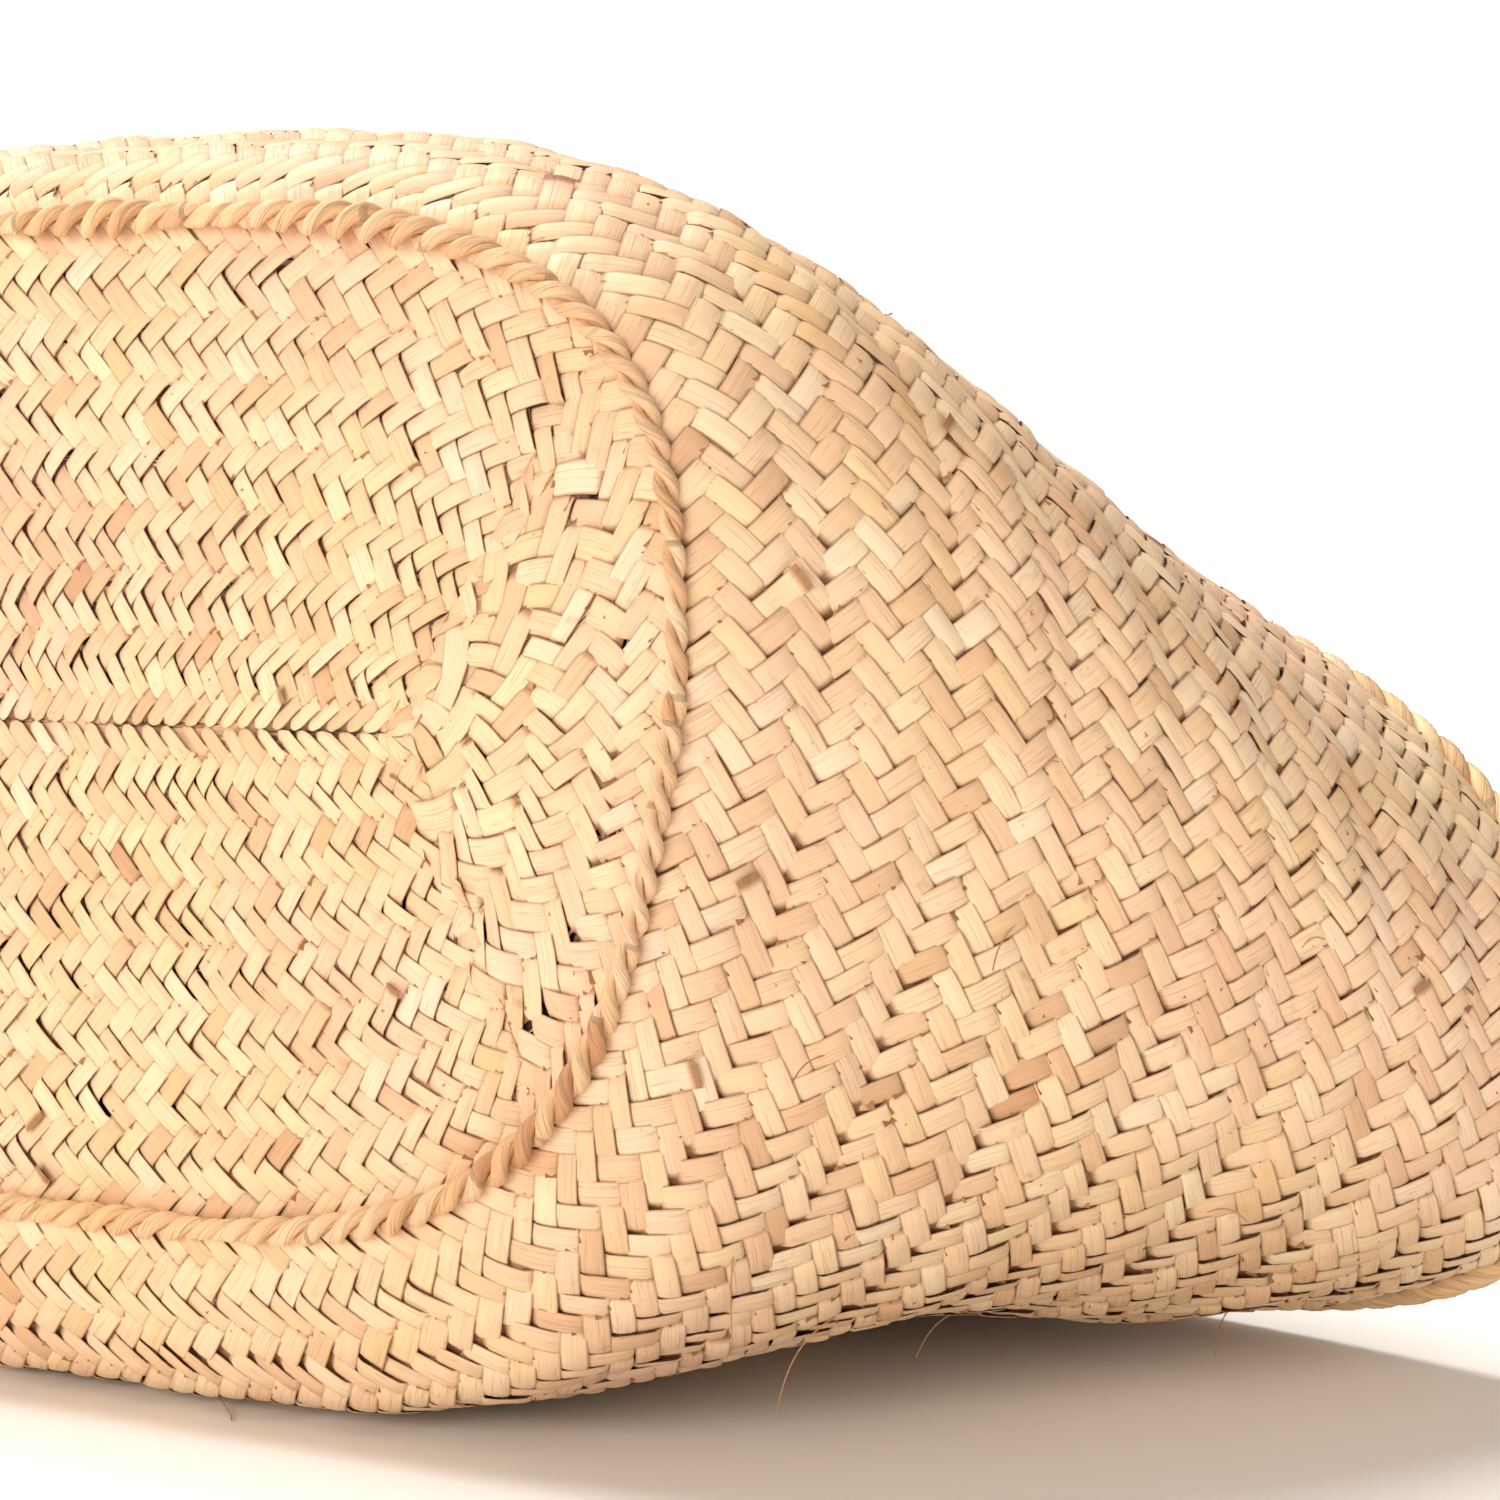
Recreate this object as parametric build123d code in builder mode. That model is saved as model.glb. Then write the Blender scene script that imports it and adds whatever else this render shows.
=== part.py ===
from build123d import *
from math import cos, exp, pi, sin, sqrt, tan
import os

# Plaited palm-leaf market basket, lying on its back panel.
# X is the long way of the oval base, Y runs from the base to the mouth, Z is up.
# The braid is one long strip wound round and round; each turn of it is one piece here.
os.makedirs("parts", exist_ok=True)

# Overall sizes, all in millimetres
width = 598.0  # across the mouth, as its curve would run on without the tuck of the panels
height = 263.0
depth = 201.0  # from the base to the middle of the mouth

# Form of the outside, drawn at these three sizes. Each row is one cross-section:
# depth from the base, half width, top height, bottom height, height of the widest
# line, fullness of the top half, fullness of the bottom half, tuck of the lower corners
drawn_width, drawn_height, drawn_depth = 598.0, 263.0, 201.0
drawn_sections = [
    (0, 151, 245, 40.0, 152, 3.4, 3.6, 0.13),
    (7, 161, 254, 14.0, 149, 3.3, 3.7, 0.13),
    (16, 171, 259, 3.0, 145, 3.2, 3.7, 0.13),
    (32, 188, 263, 0.0, 138, 2.9, 3.6, 0.13),
    (50, 205, 262, 0.0, 129, 2.5, 3.5, 0.11),
    (69, 221, 257, 1.0, 119, 2.2, 3.3, 0.08),
    (89, 236, 250, 2.0, 108, 2.0, 3.1, 0.05),
    (110, 250, 241, 2.0, 97, 1.85, 3.1, 0.02),
    (132, 263, 230, 2.4, 87, 1.8, 3.4, 0.0),
    (154, 275, 218, 2.8, 77, 1.8, 3.6, 0.0),
    (178, 286, 205, 2.8, 68, 1.8, 3.8, 0.0),
    (212, 299, 187, 2.8, 56, 1.8, 4.0, 0.0),
]
wider, taller, deeper = width / drawn_width, height / drawn_height, depth / drawn_depth
sections = [
    (d * deeper, half * wider, top * taller, bottom * taller, mid * taller, upper, lower, tuck)
    for d, half, top, bottom, mid, upper, lower, tuck in drawn_sections
]
lip_arch = 15.0  # how far the lower lip of the mouth arches up at its middle
lip_arch_from = 105.0 * deeper  # depth at which that arch begins
lip_arch_half = 190.0 * wider  # half the width that it spans
saddle = 11.0  # how far the back panel is dented up on each side, where it lies hollow
saddle_x, saddle_depth = 128.0 * wider, 96.0 * deeper  # where the dents are deepest
saddle_wide, saddle_long = 38.0, 36.0  # how fast they fade away from there

wall = 3.6  # thickness of the plaited wall, measured across the section
base = 3.0  # thickness of the plaited base
cord_gap = 1.6  # joint between two turns, which the joining cord fills
cord_inset = 0.7  # how far the joining cord lies below both faces of the wall

# Seams between turns: depth on the middle of the panels, depth at the two end walls
seam_mid = [d * deeper for d in (0, 22, 46, 71, 97, 123, 149, 175, 201)]
seam_end = [d * deeper for d in (0, 15, 32, 50, 69, 89, 110, 132, 154)]

turns = len(seam_mid) - 1

# Base: turns of the braid round a centre line
base_turns = 4
core_half = 88.0  # half the length of the core that the turns go round
base_rim = 2.0  # how far inside the outer edge the base ends

edge_cord_r = 3.5
edge_cord_drop = 2.2  # its centre stands this far outside the base
foot_depth = 5.0  # the cord is worn flat at this depth, where the basket stands

rope_r = 4.0  # rope of the rim
rope_bite = 0.6  # how far the rim's edge beds into the rope
handle_r = 3.8
eye_rope_r = 3.4  # the eyes of the handles are of slightly thinner rope
eye_play = 3.2  # gap between an eye and the rim rope inside it, all round
eye_r = rope_r + eye_rope_r + eye_play  # centre-line radius of the eyes
eye_room = 1.5  # clearance of the eyes all round in the wall
eye_slot = 2 * (eye_rope_r + eye_room)  # width of the gap that each eye passes through
front_half = 60.0  # half the spacing of the hanging handle's eyes
back_half = 72.0  # half the spacing of the lying handle's eyes
front_drop = 128.0
back_reach = 132.0
floor_gap = 0.5

side = width / 2 + 31.0  # half width of the cutting blocks, beyond the widest section
block_out = 20.0  # the cutting blocks begin this far outside the basket
points = 28  # points on each section curve


def at(depth, column):
    """One value of the section table at a depth, as a smooth monotone curve."""
    ys = [row[0] for row in sections]
    vs = [row[column] for row in sections]
    steps = [ys[i + 1] - ys[i] for i in range(len(ys) - 1)]
    rises = [(vs[i + 1] - vs[i]) / steps[i] for i in range(len(steps))]
    slopes = [rises[0]]
    for a, b in zip(rises, rises[1:]):
        slopes.append(0 if a * b <= 0 else 2 / (1 / a + 1 / b))
    slopes.append(rises[-1])
    i = max(0, min(len(steps) - 1, sum(depth > y for y in ys) - 1))
    t, h = (depth - ys[i]) / steps[i], steps[i]
    return (
        vs[i] * (1 + 2 * t) * (1 - t) ** 2
        + slopes[i] * h * t * (1 - t) ** 2
        + vs[i + 1] * t * t * (3 - 2 * t)
        + slopes[i + 1] * h * t * t * (t - 1)
    )


def signed(value, power):
    return abs(value) ** power * (1 if value >= 0 else -1)


def on_section(turn, depth, inset=0.0):
    """Point of a cross-section: turn 0 is the +X end, a quarter turn is the top."""
    half, top, bottom, mid = (at(depth, c) for c in (1, 2, 3, 4))
    c, s = cos(2 * pi * turn), sin(2 * pi * turn)
    full = at(depth, 5 if s >= 0 else 6)
    rise = abs(s) ** (2 / full)
    x = (half - inset) * signed(c, 2 / full)
    if s >= 0:
        return x, mid + (top - inset - mid) * rise
    x *= 1 - at(depth, 7) * rise
    ramp = min(1, max(0, (depth - lip_arch_from) / (sections[-1][0] - lip_arch_from)))
    lift = lip_arch * ramp * max(0, 1 - (x / lip_arch_half) ** 2) ** 2 * rise
    fade = ((abs(x) - saddle_x) / saddle_wide) ** 2 + ((depth - saddle_depth) / saddle_long) ** 2
    lift += saddle * exp(-fade) * rise**2
    return x, mid + (bottom + inset - mid) * rise + lift


def seam_depth(seam, x):
    """Depth of a seam at a distance x from the middle: a long shallow arc."""
    middle, end = seam_mid[seam], seam_end[seam]
    if middle == end:
        return middle
    half, sag = at(end, 1), middle - end
    radius = (half * half + sag * sag) / (2 * sag)
    return middle - radius + sqrt(radius * radius - x * x)


def on_seam(turn, seam, inset=0.0, shift=0.0):
    depth = seam_end[seam] + shift
    for _ in range(40):
        x, z = on_section(turn, depth, inset)
        depth = 0.5 * depth + 0.5 * (seam_depth(seam, min(side, abs(x))) + shift)
    return x, depth, z


def outline(plane, ring):
    """Face inside a smooth closed curve on a plane."""
    with BuildSketch(plane) as face:
        with BuildLine():
            quarter = points // 4
            loop = ring + ring[:1]
            for start in range(0, points, quarter):
                Spline(*loop[start : start + quarter + 1])
        make_face()
    return face.sketch


def lofted(inset, start):
    """Solid inside of the basket's outline at an inset, from one depth to the mouth."""
    depths = [start] + [row[0] for row in sections if row[0] > start]
    faces = []
    for depth in depths:
        ring = [on_section(i / points, depth, inset) for i in range(points)]
        faces.append(outline(Plane.XZ.offset(-depth), ring))
    with BuildPart() as block:
        loft(sections=faces)
    return block.part


def between(first, first_shift, last, last_shift):
    """Upright block between two seams, as wide as the basket."""
    with BuildPart() as block:
        with BuildSketch(Plane.XY.offset(-block_out)):
            with BuildLine():
                ends = []
                for seam, shift in ((first, first_shift), (last, last_shift)):
                    a = (-side, seam_depth(seam, side) + shift)
                    m = (0, seam_mid[seam] + shift)
                    b = (side, seam_depth(seam, side) + shift)
                    if seam_mid[seam] == seam_end[seam]:
                        Line(a, b)
                    else:
                        ThreePointArc(a, m, b)
                    ends.append((a, b))
                Line(ends[0][0], ends[1][0])
                Line(ends[0][1], ends[1][1])
            make_face()
        extrude(amount=height + 2 * block_out)
    return block.part


def oval(number, grow=0.0):
    """Outline of one turn of the base, counted from the centre line."""
    share = number / base_turns
    top, bottom = sections[0][2], sections[0][3]
    mid = (top + bottom) / 2
    half = core_half + (sections[0][1] - base_rim - core_half) * share + grow
    up = (top - base_rim - mid) * share + grow
    down = (mid - bottom - base_rim) * share + grow
    ring = []
    for i in range(points):
        c, s = cos(2 * pi * i / points), sin(2 * pi * i / points)
        full = sections[0][5] if s >= 0 else sections[0][6]
        rise = abs(s) ** (2 / full)
        tuck = 0 if s >= 0 else sections[0][7] * share * rise
        x = half * signed(c, 2 / full) * (1 - tuck)
        ring.append((x, mid + (up if s >= 0 else -down) * rise))
    return ring


def bent_tube(path_points, radius, closed=False):
    """Round rope along straight runs joined by tangent arcs."""
    pts = [Vector(*p) for p in path_points]
    count = len(pts)
    radii = []
    for i in range(count) if closed else range(1, count - 1):
        before, after = pts[i] - pts[i - 1], pts[(i + 1) % count] - pts[i]
        turn = max(0.01, before.get_angle(after) * pi / 180)
        radii.append(0.45 * min(before.length, after.length) / tan(turn / 2))
    with BuildPart() as tube:
        with BuildLine() as path:
            FilletPolyline(*pts, radius=radii, close=closed)
        with BuildSketch(Plane(origin=path.line @ 0, z_dir=path.line % 0)):
            Circle(radius)
        sweep()
    return tube.part


def handle(eye, half_path):
    """Rope loop with an eye at each end; the path runs from the right eye to the middle."""
    path = half_path + [(-x, y, z) for x, y, z in reversed(half_path[:-1])]
    with BuildPart() as loop:
        add(bent_tube(path, handle_r))
        for side_x in (-eye[0], eye[0]):
            with Locations(Plane(origin=(side_x, eye[1], eye[2]), z_dir=(1, 0, 0))):
                Torus(eye_r, eye_rope_r)
    return loop.part


def rim_at(x, upper):
    """Point of the rim rope's centre line at a distance x from the middle."""
    low, high = (0.0, 0.25) if upper else (0.75, 1.0)
    for _ in range(40):
        middle = (low + high) / 2
        found = on_seam(middle, turns, wall / 2, rim_shift)
        if (found[0] > x) == upper:
            low = middle
        else:
            high = middle
    return found


# The rim's rope comes first, because its neighbours bed against it and the eyes loop round it
rim_steps = 36
rim_shift = rope_r - rope_bite
rim_path = [on_seam((i + 0.5) / rim_steps, turns, wall / 2, rim_shift) for i in range(rim_steps)]
rim_rope = bent_tube(rim_path, rope_r, closed=True)
front_eye, back_eye = rim_at(front_half, True), rim_at(back_half, False)

# Front handle, hanging from the upper lip across the mouth
x, y, z = front_eye
front_path = [
    (x, y + eye_r, z),
    (x + 0.6, y + eye_r - 0.6, z - 0.14 * front_drop),
    (x + 2.5, y + 2.5, z - 0.36 * front_drop),
    (x + 1.0, y - 1.5, z - 0.62 * front_drop),
    (0.8 * x, y - 3.0, z - 0.84 * front_drop),
    (0.42 * x, y - 3.4, z - 0.965 * front_drop),
    (0, y - 3.6, z - front_drop),
]
front_handle = handle(front_eye, front_path)

# Back handle, lying on the ground in front of the lower lip
x, y, z = back_eye
level = handle_r + floor_gap
back_path = [
    (x, y, z - eye_r),
    (x + 0.5, y + 0.14 * back_reach, level + 0.6),
    (x + 3.0, y + 0.38 * back_reach, level),
    (x - 1.0, y + 0.64 * back_reach, level),
    (0.76 * x, y + 0.86 * back_reach, level),
    (0.38 * x, y + 0.97 * back_reach, level),
    (0, y + back_reach, level),
]
back_handle = handle(back_eye, back_path)

# The origin lies under the middle of the whole basket, handles included
centre = (back_handle.bounding_box().max.Y - foot_depth) / 2
print("origin lies", round(centre, 3), "mm behind the base; eyes at", front_eye, back_eye)


def piece(name, solid):
    placed = solid.moved(Location((0, -centre, 0)))
    placed.label = name
    export_step(placed, f"parts/{name}.step")
    print(name, round(placed.volume / 1000, 2), "cm3", len(placed.solids()), "solid")


piece("rim_rope", rim_rope)
piece("front_handle", front_handle)
piece("back_handle", back_handle)

# Cord round the edge of the base, worn flat where the basket stands on it
edge_steps = 40
edge_path = []
for i in range(edge_steps):
    x, z = on_section((i + 0.5) / edge_steps, 0, base_rim)
    edge_path.append((x, -edge_cord_drop, z))
with BuildPart() as base_edge_cord:
    add(bent_tube(edge_path, edge_cord_r, closed=True))
    with BuildSketch(Plane.XZ.offset(foot_depth)):
        Rectangle(2 * side, 4 * side)
    extrude(amount=edge_cord_r, mode=Mode.SUBTRACT)
piece("base_edge_cord", base_edge_cord.part)

# Base: the core of the spiral, then turn after turn, with a joining cord in each joint
for number in range(1, base_turns + 1):
    last = number == base_turns
    with BuildPart() as turn:
        extrude(outline(Plane.XZ, oval(number, 0 if last else -cord_gap / 2)), amount=-base)
        if number > 1:
            extrude(outline(Plane.XZ, oval(number - 1, cord_gap / 2)), amount=-base, mode=Mode.SUBTRACT)
        if last:
            add(base_edge_cord.part, mode=Mode.SUBTRACT)
    piece("base_core_braid" if number == 1 else f"base_braid_turn_{number}", turn.part)
    if not last:
        sunk, thick = Plane.XZ.offset(-cord_inset), base - 2 * cord_inset
        with BuildPart() as joining:
            extrude(outline(sunk, oval(number, cord_gap / 2)), amount=-thick)
            extrude(outline(sunk, oval(number, -cord_gap / 2)), amount=-thick, mode=Mode.SUBTRACT)
        piece(f"base_joining_cord_{number}", joining.part)

# The outside and the inside of the wall, and of the band that the joining cords take up
outer, inner = lofted(0, 0), lofted(wall, base)
outer_cord, inner_cord = lofted(cord_inset, 0), lofted(wall - cord_inset, 0)
eye_outer = eye_r + eye_rope_r + eye_room

# Wall: turn after turn, with the joining cords between them
for number in range(1, turns + 1):
    first, last = number == 1, number == turns
    low, high = -block_out if first else cord_gap / 2, 0 if last else -cord_gap / 2
    with BuildPart() as turn:
        add(outer)
        add(between(number - 1, low, number, high), mode=Mode.INTERSECT)
        add(inner, mode=Mode.SUBTRACT)
        if first:
            extrude(outline(Plane.XZ, oval(base_turns)), amount=-base, mode=Mode.SUBTRACT)
            add(base_edge_cord.part, mode=Mode.SUBTRACT)
        if last:
            for eye in (front_eye, back_eye):
                with Locations((-eye[0], eye[1], eye[2]), (eye[0], eye[1], eye[2])):
                    Box(eye_slot, 2 * eye_outer, 2 * eye_r, mode=Mode.SUBTRACT)
    piece(f"wall_braid_turn_{number}", turn.part)
    if not last:
        with BuildPart() as joining:
            add(outer_cord)
            add(between(number, -cord_gap / 2, number, cord_gap / 2), mode=Mode.INTERSECT)
            add(inner_cord, mode=Mode.SUBTRACT)
        piece(f"wall_joining_cord_{number}", joining.part)
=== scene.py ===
import bpy, bmesh, math
import numpy as np
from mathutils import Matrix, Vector


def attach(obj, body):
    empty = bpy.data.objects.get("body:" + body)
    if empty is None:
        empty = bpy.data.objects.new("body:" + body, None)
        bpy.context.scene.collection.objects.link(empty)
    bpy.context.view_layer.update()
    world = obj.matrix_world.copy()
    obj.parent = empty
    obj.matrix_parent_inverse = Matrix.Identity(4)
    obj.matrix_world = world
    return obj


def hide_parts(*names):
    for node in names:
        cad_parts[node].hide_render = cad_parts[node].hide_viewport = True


# Plaited palm-leaf market basket, lying on its back panel
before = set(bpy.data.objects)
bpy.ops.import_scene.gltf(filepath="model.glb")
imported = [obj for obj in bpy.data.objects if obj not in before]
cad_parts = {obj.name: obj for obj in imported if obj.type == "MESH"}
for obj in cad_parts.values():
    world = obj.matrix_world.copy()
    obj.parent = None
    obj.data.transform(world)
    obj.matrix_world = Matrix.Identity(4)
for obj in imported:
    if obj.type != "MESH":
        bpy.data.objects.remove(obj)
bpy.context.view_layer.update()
mm = 0.001

# Outline of the wall at each depth from the base, in millimetres, as the CAD has it:
# depth, half width, top, bottom, height of the widest line, fullness above and below, tuck
basketForm = {
    "sections": np.array([
        (0, 151, 245, 40.0, 152, 3.4, 3.6, 0.13),
        (7, 161, 254, 14.0, 149, 3.3, 3.7, 0.13),
        (16, 171, 259, 3.0, 145, 3.2, 3.7, 0.13),
        (32, 188, 263, 0.0, 138, 2.9, 3.6, 0.13),
        (50, 205, 262, 0.0, 129, 2.5, 3.5, 0.11),
        (69, 221, 257, 1.0, 119, 2.2, 3.3, 0.08),
        (89, 236, 250, 2.0, 108, 2.0, 3.1, 0.05),
        (110, 250, 241, 2.0, 97, 1.85, 3.1, 0.02),
        (132, 263, 230, 2.4, 87, 1.8, 3.4, 0.0),
        (154, 275, 218, 2.8, 77, 1.8, 3.6, 0.0),
        (178, 286, 205, 2.8, 68, 1.8, 3.8, 0.0),
        (212, 299, 187, 2.8, 56, 1.8, 4.0, 0.0),
    ], float),
    "lipArch": 15.0, "lipArchFrom": 105.0, "lipArchHalf": 190.0,  # rise in the middle of the lower lip
    "saddle": 11.0, "saddleX": 128.0, "saddleDepth": 96.0,  # hollow under the back panel, on each side
    "saddleWide": 38.0, "saddleLong": 36.0,
    "wall": 3.6, "base": 3.0,  # thickness of the braid
    "mouthMiddle": 201.0, "mouthEnd": 154.0,  # depth of the rim on the panels and at the ends
    "centre": 165.584,  # the origin lies this far behind the base
    "turns": 8, "rowsPerTurn": 4,
    "baseTurns": 4,
    "coreHalf": 88.0,  # half length of the base's middle line
    "baseRim": 2.0,  # the base ends this far inside the first section
    "topCorner": 134, "lowCorner": 117,  # half distance between the ends of the mitres
}


# Value of one column at a depth, on a curve that never passes its own points
def formAt(depth, column):
    rows = basketForm["sections"]
    ys, vs = rows[:, 0], rows[:, column]
    steps = np.diff(ys)
    rises = np.diff(vs) / steps
    slopes = np.empty_like(vs)
    slopes[0], slopes[-1] = rises[0], rises[-1]
    for i in range(1, len(vs) - 1):
        a, b = rises[i - 1], rises[i]
        slopes[i] = 0 if a * b <= 0 else 2 / (1 / a + 1 / b)
    i = np.clip(np.searchsorted(ys, depth, side="right") - 1, 0, len(steps) - 1)
    h = steps[i]
    t = (depth - ys[i]) / h
    return (vs[i] * (1 + 2 * t) * (1 - t) ** 2 + slopes[i] * h * t * (1 - t) ** 2
            + vs[i + 1] * t * t * (3 - 2 * t) + slopes[i + 1] * h * t * t * (t - 1))


# Place on the outline at a depth, with turn 0 at the right end and a quarter at the top
def onSection(turn, depth, inset):
    half, top, bottom, mid = (formAt(depth, c) for c in (1, 2, 3, 4))
    c, s = np.cos(2 * np.pi * turn), np.sin(2 * np.pi * turn)
    full = np.where(s >= 0, formAt(depth, 5), formAt(depth, 6))
    rise = np.abs(s) ** (2 / full)
    x = (half - inset) * np.sign(c) * np.abs(c) ** (2 / full)
    x = np.where(s < 0, x * (1 - formAt(depth, 7) * rise), x)
    last = basketForm["sections"][-1, 0]
    share = np.clip((depth - basketForm["lipArchFrom"]) / (last - basketForm["lipArchFrom"]), 0, 1)
    arch = np.clip(1 - (x / basketForm["lipArchHalf"]) ** 2, 0, 1) ** 2
    lift = basketForm["lipArch"] * share * arch * rise
    fade = ((np.abs(x) - basketForm["saddleX"]) / basketForm["saddleWide"]) ** 2
    fade = fade + ((depth - basketForm["saddleDepth"]) / basketForm["saddleLong"]) ** 2
    lift = lift + basketForm["saddle"] * np.exp(-fade) * rise**2
    low = mid + (bottom + inset - mid) * rise + lift
    return x, np.where(s >= 0, mid + (top - inset - mid) * rise, low)


# The mouth is an arc, seen from above
def mouthDepth(x):
    middle, end = basketForm["mouthMiddle"], basketForm["mouthEnd"]
    half, sag = formAt(np.array(end), 1), middle - end
    radius = (half * half + sag * sag) / (2 * sag)
    return middle - radius + np.sqrt(np.maximum(radius * radius - x * x, 0))


def rimCurve(turn, inset, shift):
    depth = np.full_like(turn, basketForm["mouthEnd"] + shift)
    for _ in range(40):
        x, z = onSection(turn, depth, inset)
        depth = 0.5 * depth + 0.5 * (mouthDepth(x) + shift)
    return np.stack([x, depth, z], -1)


def resample(line, count, closed=False):
    pts = np.concatenate([line, line[:1]]) if closed else line
    run = np.concatenate([[0], np.cumsum(np.linalg.norm(np.diff(pts, axis=0), axis=1))])
    want = np.linspace(0, run[-1], count + 1)[:-1] if closed else np.linspace(0, run[-1], count)
    return np.stack([np.interp(want, run, pts[:, k]) for k in range(3)], -1)


# A sheet is a grid of places on the braid's middle layer, with the outward direction at each
class Sheet:
    def __init__(self, grid, closed, outward):
        self.grid, self.closed = grid, closed
        du = np.roll(grid, -1, 1) - np.roll(grid, 1, 1) if closed else np.gradient(grid, axis=1)
        dv = np.gradient(grid, axis=0)
        normal = np.cross(du, dv)
        normal /= np.maximum(np.linalg.norm(normal, axis=-1, keepdims=True), 1e-9)
        if (normal * outward(grid)).sum() < 0:
            normal = -normal
        self.normal = normal
        ring = np.concatenate([grid, grid[:, :1]], 1) if closed else grid
        self.length = np.linalg.norm(np.diff(ring, axis=1), axis=-1).sum(1)

    def sample(self, field, u, v):
        rows, cols = field.shape[:2]
        fv = np.clip(v, 0, 1) * (rows - 1)
        j = np.minimum(fv.astype(int), rows - 2)
        tv = (fv - j)[..., None]
        if self.closed:
            fu = (u % 1.0) * cols
            i = fu.astype(int) % cols
            i2 = (i + 1) % cols
        else:
            over = leafForm["pastMitre"] / self.length[-1]
            fu = np.clip(u, -over, 1 + over) * (cols - 1)
            i = np.clip(np.floor(fu).astype(int), 0, cols - 2)
            i2 = i + 1
        tu = (fu - np.floor(fu))[..., None] if self.closed else (fu - i)[..., None]
        a = field[j, i] * (1 - tu) + field[j, i2] * tu
        b = field[j + 1, i] * (1 - tu) + field[j + 1, i2] * tu
        return a * (1 - tv) + b * tv

    def place(self, u, v, height):
        p = self.sample(self.grid, u, v)
        n = self.sample(self.normal, u, v)
        n /= np.maximum(np.linalg.norm(n, axis=-1, keepdims=True), 1e-9)
        return p + n * height[..., None]

    def lengthAt(self, v):
        return float(np.interp(v, np.linspace(0, 1, len(self.length)), self.length))


def wallSheet(inset):
    t = np.linspace(0, 1, 1440, endpoint=False)
    end = rimCurve(t, inset, 0.0)[:, 1]
    share = np.linspace(0, 1, 90)
    columns = []
    for k in range(len(t)):
        d = share * end[k]
        x, z = onSection(np.full_like(d, t[k]), d, inset)
        columns.append(resample(np.stack([x, d, z], -1), 129))
    grid = np.stack(columns, 1)
    grid = np.stack([resample(row, 1440, closed=True) for row in grid])
    middle = grid.mean((0, 1))
    return Sheet(grid, True, lambda g: (g - middle) * (1, 0, 1))


def baseOutline(turn):
    x, z = onSection(turn, np.zeros_like(turn), basketForm["baseRim"])
    return np.stack([x, np.full_like(x, basketForm["base"] / 2), z], -1)


# The base has four fields that meet in mitres: above and below the centre line, and both ends
def baseSheets():
    turn = np.linspace(0, 1, 4001)
    line = baseOutline(turn)
    rows = basketForm["sections"]
    mid = (rows[0, 2] + rows[0, 3]) / 2
    core, middle = basketForm["coreHalf"], basketForm["base"] / 2
    topCorner = int(np.argmin(np.abs(line[:1000, 0] - basketForm["topCorner"])))
    lowCorner = 3000 + int(np.argmin(np.abs(line[3000:, 0] - basketForm["lowCorner"])))
    right = np.concatenate([line[lowCorner:-1], line[:topCorner + 1]])
    upper = line[topCorner:2001 - topCorner][::-1]
    left = right * (-1, 1, 1)
    lower = line[2000 + (4000 - lowCorner):lowCorner + 1]
    share = np.linspace(0, 1, 65)[:, None, None]
    sheets = {}
    outward = lambda g: np.broadcast_to(np.array([0.0, -1.0, 0.0]), g.shape)
    for name, edge in (("upper", upper), ("lower", lower)):
        edge = resample(edge, 400)
        s = np.linspace(-1, 1, 400)
        if edge[0, 0] > edge[-1, 0]:
            edge = edge[::-1]
        start = np.stack([s * core, np.full(400, middle), np.full(400, mid)], -1)
        sheets[name] = Sheet(start[None] * (1 - share) + edge[None] * share, False, outward)
    for name, edge, sign in (("right", right, 1), ("left", left, -1)):
        edge = resample(edge, 400)
        start = np.array([sign * (core - 5), middle, mid])
        sheets[name] = Sheet(start * (1 - share) + edge[None] * share, False, outward)
    return sheets


# Template of one leaf where it shows between two tucks: a short strip of a few faces
leafForm = {
    "across": 4, "along": 7,
    "reach": 0.73, "half": 0.27,  # half length and half width, in cells of the weave
    "rise": 1.3, "crown": 0.25, "edge": 0.36, "lap": 0.20,
    "drop": 1.4, "dropFrom": 0.56,  # where the ends go down under the next leaves
    "tabs": 0.006, "tabRise": 2.2,  # share of the leaves with a cut end that stands up
    "pastMitre": 2.4,
    # the backing's tone is dark and well worn: painted shade seen through the gaps in the weave
    "backing": 0.15, "backingShadeTone": (0.2, 0.5, 0.8, 0.3),
}


def leafCopies(count):
    bm = bmesh.new()
    bm.loops.layers.uv.new("leafMap")
    across, along = leafForm["across"], leafForm["along"]
    bmesh.ops.create_grid(bm, x_segments=across, y_segments=along, size=1.0, calc_uvs=True)
    bm.verts.ensure_lookup_table()
    local = np.array([v.co[:2] for v in bm.verts])
    size = len(bm.verts)
    while len(bm.verts) < count * size:
        bmesh.ops.duplicate(bm, geom=bm.verts[:] + bm.edges[:] + bm.faces[:])
    bm.verts.ensure_lookup_table()
    bmesh.ops.delete(bm, geom=bm.verts[count * size:], context="VERTS")
    return bm, local


def setPlaces(mesh, places):
    moved = (places - (0, basketForm["centre"], 0)) * mm
    mesh.vertices.foreach_set("co", moved.astype(np.float32).ravel())
    mesh.update()


def setTone(mesh, tone):
    layer = mesh.attributes.new("leafTone", "FLOAT_COLOR", "POINT")
    layer.data.foreach_set("color", tone.astype(np.float32).ravel())


# Puts a mesh on its body, and in the place of the CAD nodes that it stands for
def addPiece(name, mesh, material, nodes, body):
    mesh.polygons.foreach_set("use_smooth", np.ones(len(mesh.polygons), bool))
    mesh.materials.append(material)
    piece = bpy.data.objects.new(name, mesh)
    bpy.context.scene.collection.objects.link(piece)
    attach(piece, body)
    if nodes:
        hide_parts(*nodes)
    return piece


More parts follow.
